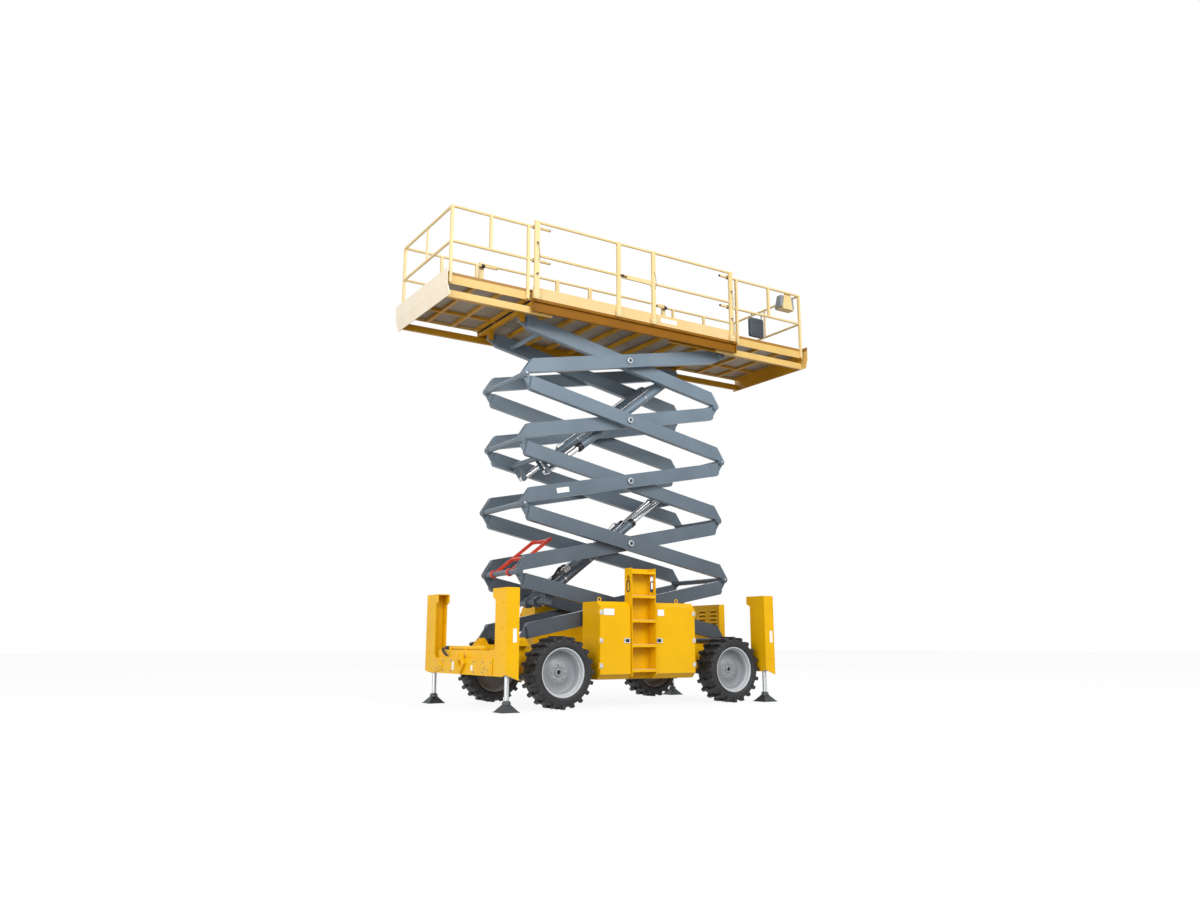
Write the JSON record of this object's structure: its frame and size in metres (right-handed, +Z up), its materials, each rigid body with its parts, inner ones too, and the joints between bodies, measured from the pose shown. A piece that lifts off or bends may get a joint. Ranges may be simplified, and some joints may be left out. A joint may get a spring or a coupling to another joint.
{
  "type": "rough-terrain scissor lift",
  "caption": "Rough-terrain scissor lift on lugged tyres and outrigger legs, part raised, with a railed platform whose deck slides out at both ends.",
  "frame": {"origin": "on the ground, in the middle of the extended platform", "axes": "+X towards the front, +Y to the left, +Z up; the ladder is on the right side and the rear axle steers"},
  "size_m": [6.518, 2.54, 6.6937],
  "materials": {
    "machine_paint": "semi-gloss powder coat",
    "arm_paint": "semi-gloss paint",
    "tyre_rubber": "matt rubber",
    "wheel_paint": "satin paint",
    "chrome": "polished",
    "galvanised": "zinc plated",
    "prop_paint": "gloss paint",
    "black_paint": "satin paint",
    "black_plastic": "grained",
    "box_plastic": "grained",
    "floor_steel": "zinc plated sheet"
  },
  "bodies": {
    "chassis": {"chassis_frame": "machine_paint", "front_axle": "machine_paint", "rear_axle": "machine_paint", "outrigger_rear": "machine_paint", "outrigger_front": "machine_paint", "side_box_right": "machine_paint", "side_box_left": "machine_paint", "ladder": "machine_paint", "engine_block": "black_paint", "hydraulic_tank": "machine_paint", "front_cowl": "machine_paint"},
    "wheel_rear_right": {"tyre_rear_right": "tyre_rubber", "rim_rear_right": "wheel_paint"},
    "leg_rear_right": {"leg_rear_right": "galvanised"},
    "door_right_rear": {"door_right_rear": "machine_paint"},
    "wheel_rear_left": {"tyre_rear_left": "tyre_rubber", "rim_rear_left": "wheel_paint"},
    "leg_rear_left": {"leg_rear_left": "galvanised"},
    "door_left_rear": {"door_left_rear": "machine_paint"},
    "wheel_front_right": {"tyre_front_right": "tyre_rubber", "rim_front_right": "wheel_paint"},
    "leg_front_right": {"leg_front_right": "galvanised"},
    "door_right_front": {"door_right_front": "machine_paint"},
    "wheel_front_left": {"tyre_front_left": "tyre_rubber", "rim_front_left": "wheel_paint"},
    "leg_front_left": {"leg_front_left": "galvanised"},
    "door_left_front": {"door_left_front": "machine_paint"},
    "knuckle_right": {"knuckle_right": "black_paint"},
    "knuckle_left": {"knuckle_left": "black_paint"},
    "tie_rod": {"tie_rod": "black_paint"},
    "scissor_outer_1": {"scissor_outer_1": "arm_paint"},
    "scissor_inner_1": {"scissor_inner_1": "arm_paint"},
    "scissor_outer_2": {"scissor_outer_2": "arm_paint"},
    "scissor_inner_2": {"scissor_inner_2": "arm_paint"},
    "scissor_outer_3": {"scissor_outer_3": "arm_paint"},
    "scissor_inner_3": {"scissor_inner_3": "arm_paint"},
    "scissor_outer_4": {"scissor_outer_4": "arm_paint"},
    "scissor_inner_4": {"scissor_inner_4": "arm_paint"},
    "scissor_outer_5": {"scissor_outer_5": "arm_paint"},
    "scissor_inner_5": {"scissor_inner_5": "arm_paint"},
    "platform": {"deck_frame": "machine_paint", "deck_floor": "floor_steel", "guardrails": "machine_paint"},
    "gate": {"gate_bar": "machine_paint"},
    "rear_deck": {"rear_deck_frame": "machine_paint", "rear_deck_floor": "floor_steel", "rear_deck_rails": "machine_paint"},
    "front_deck": {"front_deck_frame": "machine_paint", "front_deck_floor": "floor_steel", "front_deck_rails": "machine_paint", "control_box": "box_plastic", "manual_box": "black_plastic"},
    "lower_barrels": {"lower_cylinder_barrels": "arm_paint"},
    "lower_rods": {"lower_cylinder_rods": "chrome"},
    "upper_barrels": {"upper_cylinder_barrels": "arm_paint"},
    "upper_rods": {"upper_cylinder_rods": "chrome"},
    "prop": {"safety_prop": "prop_paint"}
  },
  "joints": [
    {"name": "lift", "type": "hinge", "parent": "chassis", "child": "scissor_outer_1", "pos_m": [-1.9, 0, 0.876], "axis": [0, -1, 0], "range_deg": [-11.2, 25.3]},
    {"name": "arm_pivot_1", "type": "hinge", "parent": "scissor_outer_1", "child": "scissor_inner_1", "pos_m": [-0.15892, 0, 1.33276], "axis": [0, -1, 0], "range_deg": [-50.6, 22.4]},
    {"name": "arm_joint_2", "type": "hinge", "parent": "scissor_outer_1", "child": "scissor_outer_2", "pos_m": [1.58216, 0, 1.78953], "axis": [0, -1, 0], "range_deg": [-50.6, 22.4]},
    {"name": "arm_pivot_2", "type": "hinge", "parent": "scissor_outer_2", "child": "scissor_inner_2", "pos_m": [-0.15892, 0, 2.24629], "axis": [0, -1, 0], "range_deg": [-22.4, 50.6]},
    {"name": "arm_joint_3", "type": "hinge", "parent": "scissor_outer_2", "child": "scissor_outer_3", "pos_m": [-1.9, 0, 2.70306], "axis": [0, -1, 0], "range_deg": [-22.4, 50.6]},
    {"name": "arm_pivot_3", "type": "hinge", "parent": "scissor_outer_3", "child": "scissor_inner_3", "pos_m": [-0.15892, 0, 3.15982], "axis": [0, -1, 0], "range_deg": [-50.6, 22.4]},
    {"name": "arm_joint_4", "type": "hinge", "parent": "scissor_outer_3", "child": "scissor_outer_4", "pos_m": [1.58216, 0, 3.61659], "axis": [0, -1, 0], "range_deg": [-50.6, 22.4]},
    {"name": "arm_pivot_4", "type": "hinge", "parent": "scissor_outer_4", "child": "scissor_inner_4", "pos_m": [-0.15892, 0, 4.07335], "axis": [0, -1, 0], "range_deg": [-22.4, 50.6]},
    {"name": "arm_joint_5", "type": "hinge", "parent": "scissor_outer_4", "child": "scissor_outer_5", "pos_m": [-1.9, 0, 4.53011], "axis": [0, -1, 0], "range_deg": [-22.4, 50.6]},
    {"name": "arm_pivot_5", "type": "hinge", "parent": "scissor_outer_5", "child": "scissor_inner_5", "pos_m": [-0.15892, 0, 4.98688], "axis": [0, -1, 0], "range_deg": [-50.6, 22.4]},
    {"name": "deck_pivot", "type": "hinge", "parent": "scissor_inner_5", "child": "platform", "pos_m": [-1.92054, 0, 5.34169], "axis": [0, -1, 0], "range_deg": [-11.2, 25.3]},
    {"name": "lower_cylinder_pivot", "type": "hinge", "parent": "scissor_inner_1", "child": "lower_barrels", "pos_m": [-1.40005, 0, 1.40015], "axis": [0, -1, 0], "range_deg": [-24.01, 54.24]},
    {"name": "lower_cylinder_slide", "type": "slide", "parent": "lower_barrels", "child": "lower_rods", "axis": [0.797, 0, 0.604], "range_m": [-0.52481, 1.18549]},
    {"name": "upper_cylinder_pivot", "type": "hinge", "parent": "scissor_inner_5", "child": "upper_barrels", "pos_m": [0.7503, 0, 4.8568], "axis": [0, -1, 0], "range_deg": [-24.01, 54.24]},
    {"name": "upper_cylinder_slide", "type": "slide", "parent": "upper_barrels", "child": "upper_rods", "axis": [-0.797, 0, -0.604], "range_m": [-0.52481, 1.18549]},
    {"name": "prop_hinge", "type": "hinge", "parent": "scissor_inner_2", "child": "prop", "pos_m": [-1.9, 0, 1.78953], "axis": [0, -1, 0], "range_deg": [-25, 40]},
    {"name": "rear_deck_slide", "type": "slide", "parent": "platform", "child": "rear_deck", "axis": [1, 0, 0], "range_m": [0, 1.22]},
    {"name": "front_deck_slide", "type": "slide", "parent": "platform", "child": "front_deck", "axis": [-1, 0, 0], "range_m": [0, 1.45]},
    {"name": "gate_hinge", "type": "hinge", "parent": "platform", "child": "gate", "pos_m": [0.059, -0.91, 6.17469], "axis": [0, 0, -1], "range_deg": [0, 90]},
    {"name": "steer_right", "type": "hinge", "parent": "chassis", "child": "knuckle_right", "pos_m": [-1.55, -0.86, 0.465], "axis": [0, 0, 1], "range_deg": [-30, 30]},
    {"name": "rear_right_wheel", "type": "hinge", "parent": "knuckle_right", "child": "wheel_rear_right", "pos_m": [-1.55, -0.975, 0.465], "axis": [0, 1, 0], "continuous": true},
    {"name": "front_right_wheel", "type": "hinge", "parent": "chassis", "child": "wheel_front_right", "pos_m": [1.31, -0.975, 0.465], "axis": [0, 1, 0], "continuous": true},
    {"name": "steer_left", "type": "hinge", "parent": "chassis", "child": "knuckle_left", "pos_m": [-1.55, 0.86, 0.465], "axis": [0, 0, 1], "range_deg": [-30, 30]},
    {"name": "rear_left_wheel", "type": "hinge", "parent": "knuckle_left", "child": "wheel_rear_left", "pos_m": [-1.55, 0.975, 0.465], "axis": [0, 1, 0], "continuous": true},
    {"name": "front_left_wheel", "type": "hinge", "parent": "chassis", "child": "wheel_front_left", "pos_m": [1.31, 0.975, 0.465], "axis": [0, 1, 0], "continuous": true},
    {"name": "tie_rod_slide", "type": "slide", "parent": "chassis", "child": "tie_rod", "axis": [0, 1, 0], "range_m": [-0.087, 0.087]},
    {"name": "leg_rear_right_slide", "type": "slide", "parent": "chassis", "child": "leg_rear_right", "axis": [0, 0, 1], "range_m": [0, 0.3]},
    {"name": "leg_rear_left_slide", "type": "slide", "parent": "chassis", "child": "leg_rear_left", "axis": [0, 0, 1], "range_m": [0, 0.3]},
    {"name": "leg_front_right_slide", "type": "slide", "parent": "chassis", "child": "leg_front_right", "axis": [0, 0, 1], "range_m": [0, 0.3]},
    {"name": "leg_front_left_slide", "type": "slide", "parent": "chassis", "child": "leg_front_left", "axis": [0, 0, 1], "range_m": [0, 0.3]},
    {"name": "door_right_rear_hinge", "type": "hinge", "parent": "chassis", "child": "door_right_rear", "pos_m": [-0.998, -1.114, 0.876], "axis": [0, 0, -1], "range_deg": [0, 100]},
    {"name": "door_right_front_hinge", "type": "hinge", "parent": "chassis", "child": "door_right_front", "pos_m": [0.618, -1.114, 0.876], "axis": [0, 0, 1], "range_deg": [0, 95]},
    {"name": "door_left_rear_hinge", "type": "hinge", "parent": "chassis", "child": "door_left_rear", "pos_m": [-0.998, 1.114, 0.876], "axis": [0, 0, 1], "range_deg": [0, 100]},
    {"name": "door_left_front_hinge", "type": "hinge", "parent": "chassis", "child": "door_left_front", "pos_m": [0.618, 1.114, 0.876], "axis": [0, 0, -1], "range_deg": [0, 95]}
  ],
  "couplings": [
    {"joint": "arm_pivot_1", "follows": "lift", "ratio": -2},
    {"joint": "arm_joint_2", "follows": "lift", "ratio": -2},
    {"joint": "arm_pivot_2", "follows": "lift", "ratio": 2},
    {"joint": "arm_joint_3", "follows": "lift", "ratio": 2},
    {"joint": "arm_pivot_3", "follows": "lift", "ratio": -2},
    {"joint": "arm_joint_4", "follows": "lift", "ratio": -2},
    {"joint": "arm_pivot_4", "follows": "lift", "ratio": 2},
    {"joint": "arm_joint_5", "follows": "lift", "ratio": 2},
    {"joint": "arm_pivot_5", "follows": "lift", "ratio": -2},
    {"joint": "deck_pivot", "follows": "lift", "ratio": 1},
    {"joint": "lower_cylinder_pivot", "follows": "lift", "ratio": 2.1438},
    {"joint": "lower_cylinder_slide", "follows": "lift", "m_per_rad": 2.6847},
    {"joint": "upper_cylinder_pivot", "follows": "lift", "ratio": 2.1438},
    {"joint": "upper_cylinder_slide", "follows": "lift", "m_per_rad": 2.6847},
    {"joint": "steer_right", "follows": "steer_left", "ratio": 1},
    {"joint": "tie_rod_slide", "follows": "steer_left", "m_per_rad": -0.166}
  ]
}
